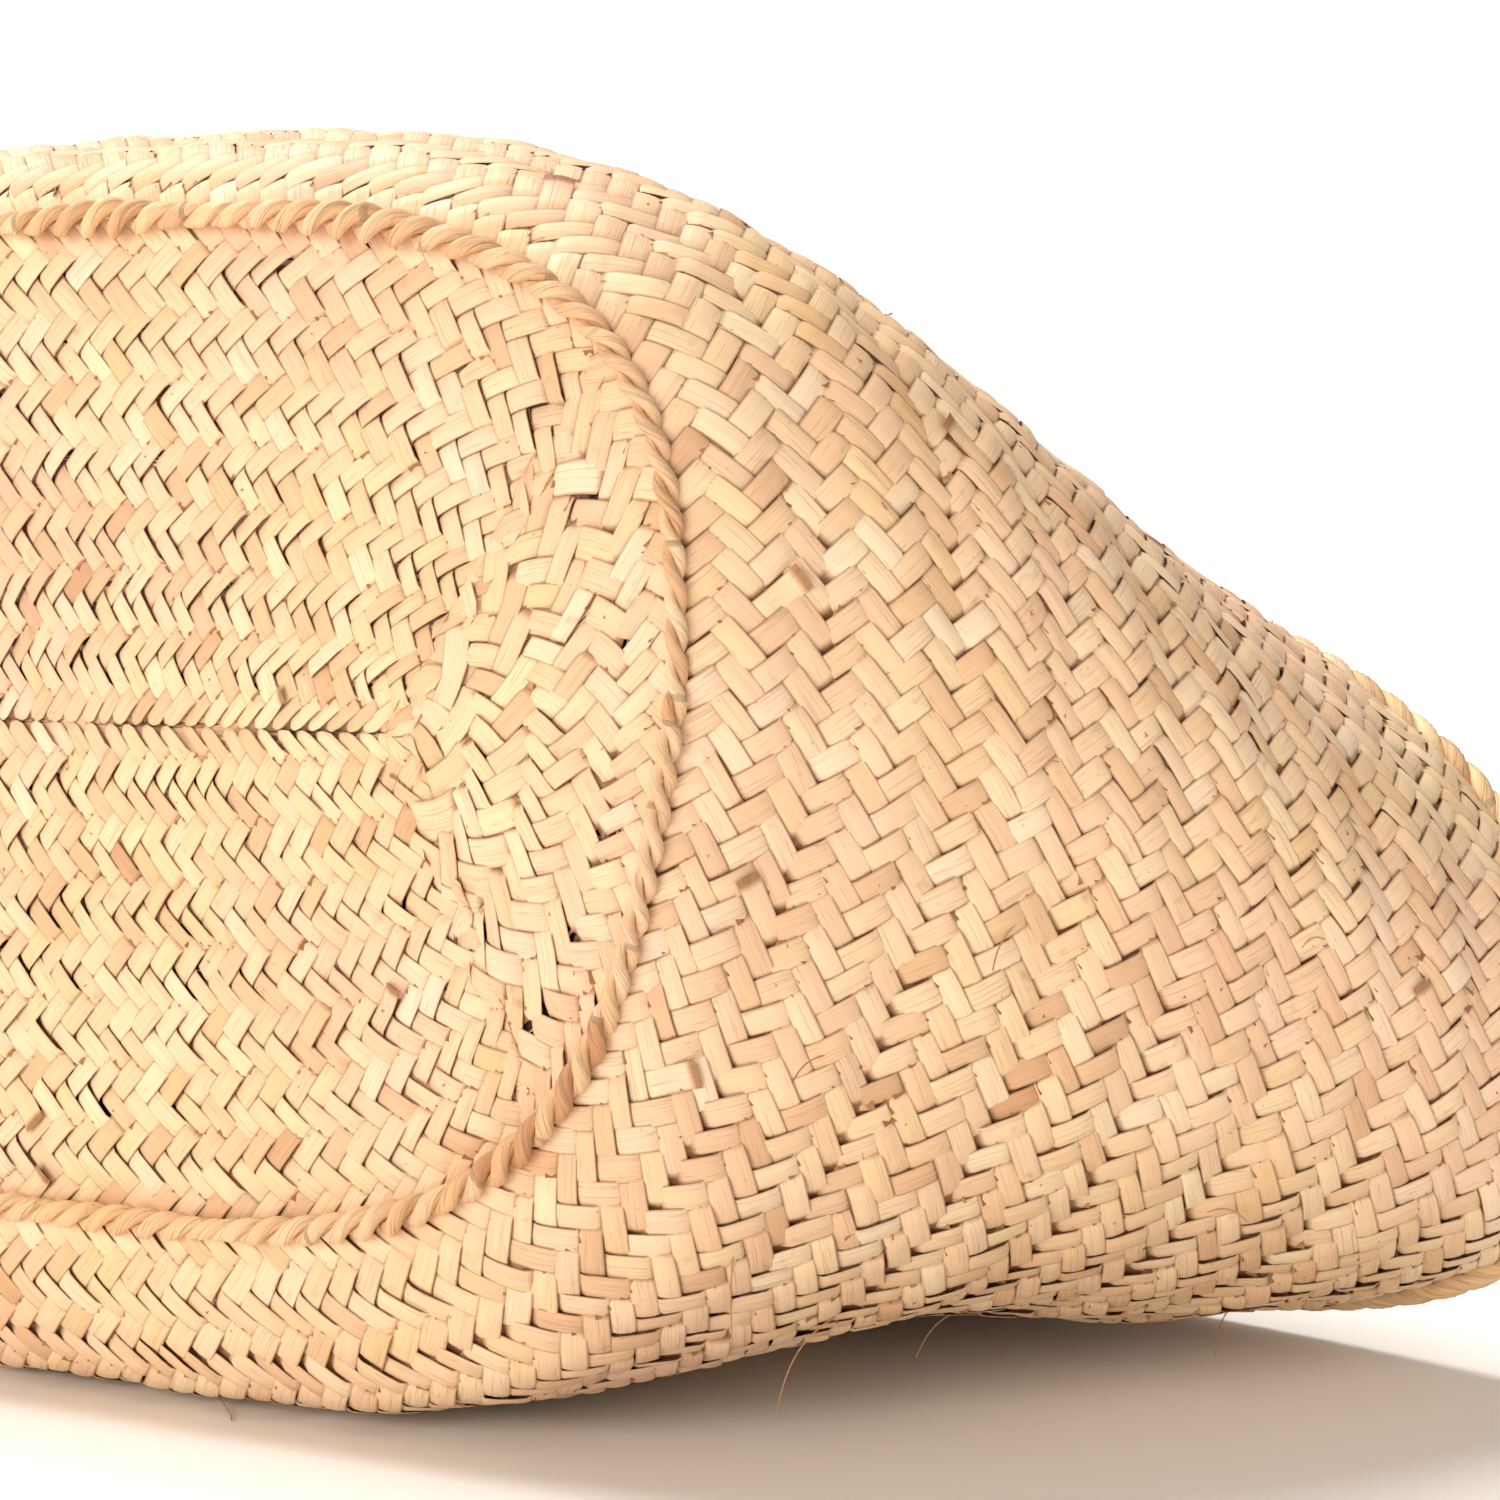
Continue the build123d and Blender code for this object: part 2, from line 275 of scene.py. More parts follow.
# Random number from 0 to 1 that depends on the keys only
def hashed(*keys):
    value = np.zeros(np.broadcast(*keys).shape)
    for k, key in enumerate(keys):
        value = value + np.asarray(key, float) * (12.9898 + 37.719 * k)
    return np.modf(np.abs(np.sin(value + 0.37) * 43758.5453))[0]


# Leaves of some rows of a sheet, outside (side 1) or inside (side -1)
def rowLeaves(sheet, rows, totalRows, spacing, side, keep=None, middle=None):
    leaves = []
    middle = (rows[0] + rows[-1] + 1) / 2 / totalRows if middle is None else middle
    count = max(2, int(round(sheet.lengthAt(middle) / spacing)))
    for r in rows:
        lean = side if r % 2 == 0 else -side
        offset = 0.25 if r % 2 == 0 else 0.75
        i = np.arange(count)
        if not sheet.closed:  # one more leaf closes the row at the mitre
            i = np.arange(count + 1) - (offset > 0.5)
        fixed = [np.full(len(i), value) for value in (r + 0.5, lean, count)]
        strand = (i - lean * r) % count
        leaves.append(np.stack([i + offset, fixed[0], fixed[1], strand, fixed[2]], -1))
    leaves = np.concatenate(leaves)
    if keep is not None:
        leaves = leaves[keep(leaves[:, 0] / leaves[:, 4], leaves[:, 1] / totalRows)]
    return leaves


def leafPlaces(sheet, leaves, totalRows, side, local, seed, turnBulge, looseness):
    rng = np.random.default_rng(seed)
    n = len(leaves)
    a, b = local[None, :, 1], local[None, :, 0]
    a = a * (1.35 - 0.35 * a * a)  # more of the faces go where the leaf bends down
    jitter = lambda s: rng.normal(0, s * looseness, (n, 1))
    reach = leafForm["reach"] * (1 + jitter(0.02))
    width = leafForm["half"] * (0.99 + jitter(0.04))
    bow = jitter(0.012) * (1 - a * a)
    turn = jitter(0.045)
    along, across = reach * a + turn * b * 0.2, width * b + bow + turn * a * 0.25
    lean = leaves[:, 2:3]
    du = along + across
    dv = lean * (along - across)
    u = (leaves[:, :1] + du + jitter(0.025)) / leaves[:, 4:5]
    v = (leaves[:, 1:2] + dv + jitter(0.02)) / totalRows
    bend = np.clip((np.abs(a) - leafForm["dropFrom"]) / (1 - leafForm["dropFrom"]), 0, 1)
    bend = bend * bend * (3 - 2 * bend)
    tab = (rng.random((n, 1)) < leafForm["tabs"]) * (a > 0)  # here and there a cut end stands up
    height = leafForm["rise"] * (1 + jitter(0.08)) - leafForm["crown"] * a * a - leafForm["edge"] * b * b
    height = height - leafForm["drop"] * bend * (1 - tab)
    height = height + tab * leafForm["tabRise"] * np.clip(a - 0.2, 0, 1) ** 1.5
    height = height + b * (leafForm["lap"] + jitter(0.13)) + jitter(0.10) + a * jitter(0.09)
    return sheet.place(u, v, side * height + turnBulge(u, v))


# Tone, hue, wear with painted shade, and a seed for each leaf, the same along one strand
def leafTones(leaves, size, seed, closed, dark):
    rng = np.random.default_rng(seed + 99)
    n = len(leaves)
    own = hashed(leaves[:, 3], leaves[:, 2] * 3.1, np.full(n, float(seed)))
    own2 = hashed(leaves[:, 3] * 1.7, leaves[:, 2] + 5.0, np.full(n, seed + 11.0))
    tone = np.clip(0.75 * own + 0.25 * rng.random(n), 0, 1)
    hue = np.clip(0.8 * own2 + 0.2 * rng.random(n), 0, 1)
    # the leaves on the inside start darker; the random part is wear
    wearAndShade = dark + 0.5 * rng.random(n) ** 3
    if not closed:  # painted shade: the leaves are darkened along the mitres of the base, where they bunch up into crevices
        u = leaves[:, 0] / leaves[:, 4]
        wearAndShade = wearAndShade + 0.55 * np.clip(1 - np.minimum(u, 1 - u) * leaves[:, 4] / 2.5, 0, 1)
    wearAndShade = np.clip(wearAndShade, 0, 1)
    seedValue = rng.random(n)
    flat = np.stack([tone, hue, wearAndShade, seedValue], -1)
    return np.repeat(flat, size, 0)


# One turn: its leaves, with the tucked stretches behind them as one layer, coloured dark as painted shade
# in the gaps between the leaves
def braidPiece(name, nodes, parts, backing, seed, bulge):
    bm, local = leafCopies(sum(len(part[1]) for part in parts))
    places, tones = [], []
    for k, (sheet, leaves, totalRows, side, loose) in enumerate(parts):
        spots = leafPlaces(sheet, leaves, totalRows, side, local, seed * 10 + k, bulge, loose)
        places.append(spots.reshape(-1, 3))
        tones.append(leafTones(leaves, len(local), seed, sheet.closed, 0.0 if side > 0 else 0.35))
    for sheet, start, end, across, deep in backing:
        bmesh.ops.create_grid(bm, x_segments=across, y_segments=deep, size=1.0, calc_uvs=True)
        rows, columns = np.linspace(start, end, deep + 1), np.linspace(0, 1, across + 1)
        v, u = np.meshgrid(rows, columns, indexing="ij")
        u, v = (u * 0.999999 if sheet.closed else u).ravel(), v.ravel()
        places.append(sheet.place(u, v, bulge(u, v) - leafForm["backing"]))
        tones.append(np.tile(leafForm["backingShadeTone"], (u.size, 1)))
    mesh = bpy.data.meshes.new(name)
    bm.to_mesh(mesh)
    bm.free()
    setPlaces(mesh, np.concatenate(places))
    setTone(mesh, np.concatenate(tones))
    piece = addPiece(name, mesh, braidMaterial, nodes, "basket")
    turnOutward(piece, parts, leafForm["across"] * leafForm["along"])


# Flips the strips whose upper face points into the weave
def turnOutward(piece, parts, faces):
    mesh = piece.data
    normals = np.empty(len(mesh.polygons) * 3, np.float32)
    mesh.polygons.foreach_get("normal", normals)
    count = sum(len(part[1]) for part in parts)
    normals = normals[:count * faces * 3].reshape(-1, faces, 3).mean(1)
    k, flips = 0, []
    for sheet, leaves, totalRows, side, _ in parts:
        u, v = leaves[:, 0] / leaves[:, 4], leaves[:, 1] / totalRows
        outward = sheet.sample(sheet.normal, u, v) * side
        facing = (normals[k:k + len(leaves)] * outward).sum(1)
        flips.append(facing < 0)
        k += len(leaves)
    flip = np.repeat(np.concatenate(flips), faces)
    bm = bmesh.new()
    bm.from_mesh(mesh)
    bm.faces.ensure_lookup_table()
    bmesh.ops.reverse_faces(bm, faces=[bm.faces[int(i)] for i in np.nonzero(flip)[0]])
    bm.to_mesh(mesh)
    bm.free()


# Rope: plies wound round a path, each ply a strip folded into a tube
def ropePiece(name, nodes, path, closed, settings, material, body="basket"):
    ends = np.concatenate([path, path[:1]]) if closed else path
    length = np.linalg.norm(np.diff(ends, axis=0), axis=1).sum()
    count = max(8, int(length / settings["step"]))
    line = resample(path, count, closed)
    nextPoint = np.roll(line, -1, 0) if closed else np.vstack([line[1:], 2 * line[-1] - line[-2]])
    lastPoint = np.roll(line, 1, 0) if closed else np.vstack([2 * line[0] - line[1], line[:-1]])
    tangent = nextPoint - lastPoint
    tangent /= np.linalg.norm(tangent, axis=1, keepdims=True)
    side = np.cross(tangent[0], settings.get("side", (0.31, 0.22, 0.92)))
    sides = [side / np.linalg.norm(side)]
    for k in range(1, count):
        s = sides[-1] - tangent[k] * np.dot(sides[-1], tangent[k])
        sides.append(s / np.linalg.norm(s))
    sides = np.array(sides)
    ups = np.cross(tangent, sides)
    turns = length / settings["lead"]
    slip = 0.0
    if closed:
        turns = round(turns)
        back = sides[-1] - tangent[0] * np.dot(sides[-1], tangent[0])
        slip = math.atan2(np.dot(np.cross(sides[0], back), tangent[0]), np.dot(sides[0], back))
    rng = np.random.default_rng(settings["seed"])
    run = np.arange(count) / (count if closed else count - 1)
    around, plies = settings["around"], settings["plies"]
    bm = bmesh.new()
    bm.loops.layers.uv.new("leafMap")
    steps = count if closed else count - 1
    for ply in range(plies):
        bmesh.ops.create_grid(bm, x_segments=steps, y_segments=around, size=1.0, calc_uvs=True)
    bm.verts.ensure_lookup_table()
    perRow = count + (1 if closed else 0)
    index = np.arange(perRow) % count
    bend = rng.normal(0, 1, 60)
    sway = np.interp(run * 59, np.arange(60), bend) * settings.get("uneven", 0.05)
    sway = np.where(closed, sway * np.sin(np.pi * run) ** 0.5, sway)
    fat = settings.get("fat", lambda p: np.ones(len(p)))(line)
    places, tones = [], []
    for ply in range(plies):
        wind = 2 * np.pi * (turns * run * settings.get("hand", 1) + ply / plies) - slip * run
        out = np.cos(wind)[:, None] * sides + np.sin(wind)[:, None] * ups
        tang = -np.sin(wind)[:, None] * sides + np.cos(wind)[:, None] * ups
        centre = line + out * (settings["offset"] * fat * (1 + sway))[:, None]
        r1, r2 = settings["deep"] * fat, settings["broad"] * fat
        for j in range(around + 1):
            q = 2 * np.pi * (j % around) / around
            ring = centre + out * (np.cos(q) * r1 * (1 + 0.5 * sway))[:, None]
            ring = ring + tang * (np.sin(q) * r2)[:, None]
            places.append(ring[index])
            piece = np.floor(run[index] * length / settings.get("leafLength", 70.0) + ply * 0.37)
            tones.append(np.stack([hashed(piece, ply + 3.0), hashed(piece + 7, ply + 1.0),
                                   0.25 * hashed(piece + 3, ply + 2.0), hashed(piece + 5, ply * 1.0)], -1))
    mesh = bpy.data.meshes.new(name)
    bm.to_mesh(mesh)
    bm.free()
    setPlaces(mesh, np.concatenate(places))
    setTone(mesh, np.concatenate(tones))
    uv = mesh.uv_layers["leafMap"].uv
    flat = np.empty(len(uv) * 2, np.float32)
    uv.foreach_get("vector", flat)
    flat = flat.reshape(-1, 2)[:, ::-1] * (settings.get("fibres", 2.0), length / 14.0)
    uv.foreach_set("vector", flat.astype(np.float32).ravel())
    bm = bmesh.new()
    bm.from_mesh(mesh)
    bmesh.ops.remove_doubles(bm, verts=bm.verts[:], dist=1e-6)
    if not closed:
        bmesh.ops.holes_fill(bm, edges=[e for e in bm.edges if e.is_boundary], sides=0)
    bmesh.ops.recalc_face_normals(bm, faces=bm.faces[:])
    bm.to_mesh(mesh)
    bm.free()
    addPiece(name, mesh, material, nodes, body)


# Smooth line through given points
def smoothLine(points, count=200):
    curve = bpy.data.curves.new("guide", "CURVE")
    curve.dimensions = "3D"
    spline = curve.splines.new("NURBS")
    spline.points.add(len(points) - 1)
    for p, co in zip(spline.points, points):
        p.co = (*co, 1)
    spline.order_u, spline.use_endpoint_u, spline.resolution_u = 4, True, 24
    holder = bpy.data.objects.new("guide", curve)
    mesh = bpy.data.meshes.new_from_object(holder)
    line = np.array([v.co[:] for v in mesh.vertices])
    bpy.data.objects.remove(holder)
    bpy.data.curves.remove(curve)
    bpy.data.meshes.remove(mesh)
    return resample(line, count)


# Shader helpers
def ramp(tree, fac, stops):
    n = tree.nodes.new("ShaderNodeValToRGB")
    band = n.color_ramp.elements
    band[0].position, band[0].color = stops[0][0], (*stops[0][1], 1)
    band[1].position, band[1].color = stops[-1][0], (*stops[-1][1], 1)
    for position, colour in stops[1:-1]:
        band.new(position).color = (*colour, 1)
    tree.links.new(fac, n.inputs["Fac"])
    return n.outputs["Color"]


def maths(tree, operation, a, b=None, clamp=False):
    n = tree.nodes.new("ShaderNodeMath")
    n.operation, n.use_clamp = operation, clamp
    for k, value in enumerate((a, b)):
        if value is None:
            continue
        if isinstance(value, (int, float)):
            n.inputs[k].default_value = value
        else:
            tree.links.new(value, n.inputs[k])
    return n.outputs[0]


def mixed(tree, fac, a, b, blend="MIX"):
    n = tree.nodes.new("ShaderNodeMix")
    n.data_type, n.blend_type = "RGBA", blend
    for socket, value in (("Factor", fac), ("A", a), ("B", b)):
        target = [s for s in n.inputs if s.name == socket and s.enabled][0]
        if isinstance(value, (int, float)):
            target.default_value = value
        elif isinstance(value, tuple):
            target.default_value = (*value, 1)
        else:
            tree.links.new(value, target)
    return [s for s in n.outputs if s.enabled][0]


# The colour goes towards itself times a tint
def tinted(tree, fac, colour, tint):
    return mixed(tree, fac, colour, mixed(tree, 1.0, colour, tint, "MULTIPLY"))


def noise(tree, vector, scale, detail, roughness=0.5):
    n = tree.nodes.new("ShaderNodeTexNoise")
    n.inputs["Scale"].default_value = scale
    n.inputs["Detail"].default_value = detail
    n.inputs["Roughness"].default_value = roughness
    tree.links.new(vector, n.inputs["Vector"])
    return n.outputs["Fac"]


def mask(tree, fac, *stops):
    return ramp(tree, fac, [(position, (value,) * 3) for position, value in stops])


def vectorMaths(tree, operation, a, b):
    n = tree.nodes.new("ShaderNodeVectorMath")
    n.operation = operation
    tree.links.new(a, n.inputs[0])
    if isinstance(b, tuple):
        n.inputs[1].default_value = b
    elif isinstance(b, float):
        n.inputs["Scale"].default_value = b
    else:
        tree.links.new(b, n.inputs[1])
    return n.outputs[0]


# Dry palm leaf: colour per leaf, long fibres, pale splits, brown specks, wear, and painted shade along the
# leaf edges
def leafGroup():
    tree = bpy.data.node_groups.new("DryPalmLeaf", "ShaderNodeTree")
    face = tree.interface
    for name, kind in (("Tone", "Color"), ("LeafMap", "Vector"), ("Place", "Vector")):
        face.new_socket(name, in_out="INPUT", socket_type=f"NodeSocket{kind}")
    for name, usual in (("FibreCount", 26.0), ("Age", 0.3), ("Outline", 1.0)):
        socket = face.new_socket(name, in_out="INPUT", socket_type="NodeSocketFloat")
        socket.default_value = usual
    for name, kind in (("Colour", "Color"), ("Height", "Float"), ("Rough", "Float")):
        face.new_socket(name, in_out="OUTPUT", socket_type=f"NodeSocket{kind}")
    inn, out = tree.nodes.new("NodeGroupInput"), tree.nodes.new("NodeGroupOutput")
    place = inn.outputs["Place"]
    link = tree.links.new

    split = tree.nodes.new("ShaderNodeSeparateColor")
    link(inn.outputs["Tone"], split.inputs[0])
    tone, hue, wearAndShade = split.outputs[0], split.outputs[1], split.outputs[2]
    straw = ramp(tree, tone, [
        (0.0, (0.64, 0.39, 0.22)), (0.08, (0.80, 0.55, 0.34)), (0.30, (0.90, 0.665, 0.43)),
        (0.66, (0.94, 0.725, 0.485)), (1.0, (0.96, 0.80, 0.59))])
    warm = ramp(tree, hue, [
        (0.0, (0.86, 0.69, 0.62)), (0.08, (0.93, 0.84, 0.80)), (0.28, (0.985, 0.95, 0.96)),
        (0.62, (1.0, 1.0, 1.0)), (0.86, (1.0, 0.985, 0.93)), (1.0, (1.0, 0.97, 0.85))])
    base = mixed(tree, 1.0, straw, warm, "MULTIPLY")
    patch = ramp(tree, noise(tree, place, 14.0, 2.0), [
        (0.38, (0.99, 0.945, 0.955)), (0.50, (1.0, 0.985, 0.97)), (0.62, (1.0, 0.99, 0.92))])
    base = mixed(tree, 1.0, base, patch, "MULTIPLY")  # whole areas lean to pink or to yellow

    # the leaf's own tone pushes the pattern along, so that no two leaves match
    mapPush = vectorMaths(tree, "ADD", inn.outputs["LeafMap"],
                          vectorMaths(tree, "SCALE", inn.outputs["Tone"], 37.0))
    counts = tree.nodes.new("ShaderNodeCombineXYZ")
    link(inn.outputs["FibreCount"], counts.inputs[0])
    counts.inputs[1].default_value, counts.inputs[2].default_value = 0.9, 1.0
    stretched = vectorMaths(tree, "MULTIPLY", mapPush, counts.outputs[0])
    fibre = noise(tree, stretched, 1.0, 4.0, 0.62)
    fibres = mask(tree, fibre, (0.30, 0.0), (0.72, 1.0))

    # a few thin lengthwise splits and veins
    rib = noise(tree, vectorMaths(tree, "MULTIPLY", mapPush, (7.0, 0.35, 1.0)), 1.0, 1.0)
    ribs = mask(tree, rib, (0.485, 0.0), (0.50, 1.0), (0.515, 0.0))

    blotches = mask(tree, noise(tree, place, 55.0, 3.0), (0.35, 0.0), (0.68, 1.0))
    stains = mask(tree, noise(tree, place, 210.0, 3.0), (0.66, 0.0), (0.78, 1.0))
    specks = mask(tree, noise(tree, place, 1000.0, 2.0), (0.75, 0.0), (0.79, 1.0))

    colour = tinted(tree, maths(tree, "MULTIPLY", fibres, 0.34), base, (0.80, 0.68, 0.53))
    colour = mixed(tree, maths(tree, "MULTIPLY", ribs, 0.50), colour, (0.52, 0.35, 0.19))
    colour = tinted(tree, maths(tree, "MULTIPLY", blotches, 0.20), colour, (0.86, 0.75, 0.62))
    aged = maths(tree, "MULTIPLY", inn.outputs["Age"], maths(tree, "ADD", wearAndShade, 0.35))
    stained = maths(tree, "MULTIPLY", stains, maths(tree, "ADD", aged, 0.20))
    colour = mixed(tree, stained, colour, (0.46, 0.29, 0.15))
    colour = mixed(tree, maths(tree, "MULTIPLY", specks, 0.70), colour, (0.24, 0.13, 0.06))
    # darker by wear and by the painted shade carried in the same channel
    colour = tinted(tree, maths(tree, "MULTIPLY", wearAndShade, 0.30), colour, (0.70, 0.55, 0.40))

    # painted shade: a brown line along the leaf's sides and ends, where one leaf dives under the next
    axes = tree.nodes.new("ShaderNodeSeparateXYZ")
    link(inn.outputs["LeafMap"], axes.inputs[0])
    edges = []
    for k, (first, last) in enumerate(((0.84, 1.0), (0.52, 0.72))):
        away = maths(tree, "SUBTRACT", maths(tree, "MULTIPLY", axes.outputs[k], 2.0), 1.0)
        away = maths(tree, "SUBTRACT", maths(tree, "ABSOLUTE", away), first)
        edges.append(maths(tree, "DIVIDE", away, last - first, clamp=True))
    creaseShadeMask = maths(tree, "MAXIMUM", maths(tree, "MULTIPLY", edges[0], 0.85), edges[1])
    creaseShadeMask = maths(tree, "MULTIPLY", creaseShadeMask, inn.outputs["Outline"])
    colour = tinted(tree, maths(tree, "MULTIPLY", creaseShadeMask, 0.9), colour, (0.40, 0.25, 0.14))

    height = maths(tree, "SUBTRACT", maths(tree, "MULTIPLY", fibre, 0.7),
                   maths(tree, "MULTIPLY", ribs, 0.55))
    rough = maths(tree, "ADD", maths(tree, "MULTIPLY", fibre, 0.22),
                  maths(tree, "MULTIPLY", blotches, 0.10))
    link(colour, out.inputs["Colour"])
    link(height, out.inputs["Height"])
    link(maths(tree, "ADD", rough, 0.36), out.inputs["Rough"])
    return tree


leafTree = leafGroup()


def leafMaterial(name, settings):
    mat = bpy.data.materials.new(name)
    mat.use_nodes = True
    tree = mat.node_tree
    shader = tree.nodes["Principled BSDF"]
    link = tree.links.new
    group = tree.nodes.new("ShaderNodeGroup")
    group.node_tree = leafTree
    tone = tree.nodes.new("ShaderNodeAttribute")
    tone.attribute_name = "leafTone"
    leafMap = tree.nodes.new("ShaderNodeUVMap")
    leafMap.uv_map = "leafMap"
    place = tree.nodes.new("ShaderNodeTexCoord")
    link(tone.outputs["Color"], group.inputs["Tone"])
    link(leafMap.outputs["UV"], group.inputs["LeafMap"])
    link(place.outputs["Object"], group.inputs["Place"])
    group.inputs["FibreCount"].default_value = settings["fibres"]
    group.inputs["Age"].default_value = settings["age"]
    group.inputs["Outline"].default_value = settings["outline"]
    tint = mixed(tree, 1.0, group.outputs["Colour"], settings["tint"], "MULTIPLY")
    link(tint, shader.inputs["Base Color"])
    link(group.outputs["Rough"], shader.inputs["Roughness"])
    bump = tree.nodes.new("ShaderNodeBump")
    bump.inputs["Strength"].default_value = settings["bump"]
    bump.inputs["Distance"].default_value = 0.0004
    link(group.outputs["Height"], bump.inputs["Height"])
    link(bump.outputs["Normal"], shader.inputs["Normal"])
    shader.inputs["Specular IOR Level"].default_value = settings["gloss"]
    shader.inputs["Sheen Weight"].default_value = settings["sheen"]
    return mat


# outline sets the strength of the painted shade along the leaf edges; the ropes have none
braidMaterial = leafMaterial("PlaitedLeaf", {
    "fibres": 20.0, "age": 0.45, "outline": 1.0, "tint": (1.0, 0.97, 0.975),
    "bump": 0.5, "gloss": 0.30, "sheen": 0.05})
ropeMaterial = leafMaterial("TwistedLeaf", {
    "fibres": 9.0, "age": 0.8, "outline": 0.0, "tint": (0.95, 0.89, 0.80),
    "bump": 0.8, "gloss": 0.30, "sheen": 0.05})
cordMaterial = leafMaterial("EdgeCord", {
    "fibres": 8.0, "age": 0.8, "outline": 0.0, "tint": (0.94, 0.86, 0.78),
    "bump": 0.9, "gloss": 0.26, "sheen": 0.05})
print("materials ready")

# Wall, one piece for each turn of the braid
wallForm = {"spacing": 6.5, "bulge": 1.1, "groove": 0.9, "wobble": 0.5,
            "topEyes": 60, "lowEyes": 72, "eyeGap": 5.0, "backing": (260, 6), "seed": 20,
            "looseness": 1.0, "looserFrom": 3, "looser": 1.25}
totalRows = basketForm["turns"] * basketForm["rowsPerTurn"]
wall = wallSheet(basketForm["wall"] / 2)


def wallBulge(u, v):
    turn = v * basketForm["turns"]
    inTurn = turn - np.floor(turn)
    belly = wallForm["bulge"] * np.sin(np.pi * np.clip(inTurn, 0, 1)) - wallForm["groove"] * 0.4
    waves = np.sin(2 * np.pi * (u * 23 + v * 3.1)) + np.sin(2 * np.pi * (u * 41 - v * 7.3) + 1.3)
    return belly + wallForm["wobble"] * waves * 0.5


# The last two rows part where the eyes of the handles go through
def clearOfEyes(u, v):
    spot = wall.sample(wall.grid, u, v)
    eyes = np.where(spot[:, 2] > 90, wallForm["topEyes"], wallForm["lowEyes"])
    return (v < 0.93) | (np.abs(np.abs(spot[:, 0]) - eyes) > wallForm["eyeGap"])


def wallPiece(number):
    rows = range((number - 1) * basketForm["rowsPerTurn"], number * basketForm["rowsPerTurn"])
    keep = clearOfEyes if number == basketForm["turns"] else None
    loose = wallForm["looseness"] if number < wallForm["looserFrom"] else wallForm["looser"]
    parts = []
    for side in (1, -1):
        leaves = rowLeaves(wall, rows, totalRows, wallForm["spacing"], side, keep)
        parts.append((wall, leaves, totalRows, side, loose))
    nodes = [f"wall_braid_turn_{number}"]
    if number < basketForm["turns"]:
        nodes.append(f"wall_joining_cord_{number}")
    turns = basketForm["turns"]
    backing = [(wall, (number - 1) / turns, number / turns, *wallForm["backing"])]
    braidPiece(f"wallTurn{number}", nodes, parts, backing, wallForm["seed"] + number, wallBulge)


for number in range(1, basketForm["turns"] + 1):
    wallPiece(number)
print("wall woven")

# Base, four turns of the same braid
baseForm = {"spacing": 5.7, "rows": 16, "columns": 10, "countAt": 0.55, "seed": 50,
            "turnColumns": [(0, 1, 2), (3, 4), (5, 6, 7), (8, 9)],
            "sideLooseness": 1.2, "endLooseness": 1.3, "sideBacking": (40, 4), "endBacking": (24, 4)}
fields = baseSheets()


def baseBulge(u, v):
    wave = 0.35 * np.sin(2 * np.pi * (u * 5 + v * 3))
    return wave + 0.3 * np.sin(np.pi * ((v * basketForm["baseTurns"]) % 1.0)) - 0.3


def basePiece(number):
    rows = range((number - 1) * basketForm["rowsPerTurn"], number * basketForm["rowsPerTurn"])
    parts, backing = [], []
    for names, cells, total, loose, middle, grid in (
            (("upper", "lower"), rows, baseForm["rows"], baseForm["sideLooseness"],
             baseForm["countAt"], baseForm["sideBacking"]),
            (("right", "left"), baseForm["turnColumns"][number - 1], baseForm["columns"],
             baseForm["endLooseness"], None, baseForm["endBacking"])):
        for name in names:
            sheet = fields[name]
            for side in (1, -1):
                leaves = rowLeaves(sheet, cells, total, baseForm["spacing"], side, middle=middle)
                parts.append((sheet, leaves, total, side, loose))
            backing.append((sheet, cells[0] / total, (cells[-1] + 1) / total, *grid))
    nodes = ["base_core_braid" if number == 1 else f"base_braid_turn_{number}"]
    if number < basketForm["baseTurns"]:
        nodes.append(f"base_joining_cord_{number}")
    braidPiece(f"baseTurn{number}", nodes, parts, backing, baseForm["seed"] + number, baseBulge)


for number in range(1, basketForm["baseTurns"] + 1):
    basePiece(number)
print("base woven")

# Twisted cord round the base, thinner at the upper end of each curve on the right
cordForm = {"step": 1.2, "lead": 13.5, "plies": 2, "around": 10, "offset": 1.6, "deep": 1.65, "broad": 2.1,
            "uneven": 0.34, "seed": 5, "leafLength": 42.0, "hand": -1, "fibres": 2.0}


def cordFat(line):
    return 1.0 - 0.30 * np.clip((line[:, 0] - 115) / 25, 0, 1) * np.clip((line[:, 2] - 75) / 30, 0, 1)


cordForm["fat"] = cordFat
turn = np.linspace(0, 1, 900, endpoint=False)
x, z = onSection(turn, np.zeros(900), basketForm["baseRim"])
cordPath = np.stack([x, np.full(900, -2.0), z], -1)
ropePiece("baseEdgeCord", ["base_edge_cord"], cordPath, True, cordForm, cordMaterial)

# Rope of the rim
rimForm = {"step": 2.0, "lead": 26.0, "plies": 3, "around": 12, "offset": 1.95, "deep": 2.15, "broad": 2.6,
           "uneven": 0.04, "seed": 8, "leafLength": 85.0, "fibres": 2.0, "shift": 3.4}
turn = np.linspace(0, 1, 1400, endpoint=False)
rimPath = rimCurve(turn, basketForm["wall"] / 2, rimForm["shift"])
ropePiece("rimRope", ["rim_rope"], rimPath, True, rimForm, ropeMaterial)
print("cords laid")

# Handles: loops of the same rope with an eye at each end round the rim
handleForm = {"step": 1.7, "lead": 24.0, "plies": 3, "around": 10, "offset": 1.85, "deep": 1.95,
              "broad": 2.4, "uneven": 0.05, "seed": 12, "leafLength": 75.0, "fibres": 2.0}
eyeForm = {"radius": 10.6, "step": 1.5, "lead": 16.6, "plies": 3, "around": 10, "offset": 1.6, "deep": 1.75,
           "broad": 2.1, "uneven": 0.03, "seed": 14, "leafLength": 40.0, "fibres": 2.0}


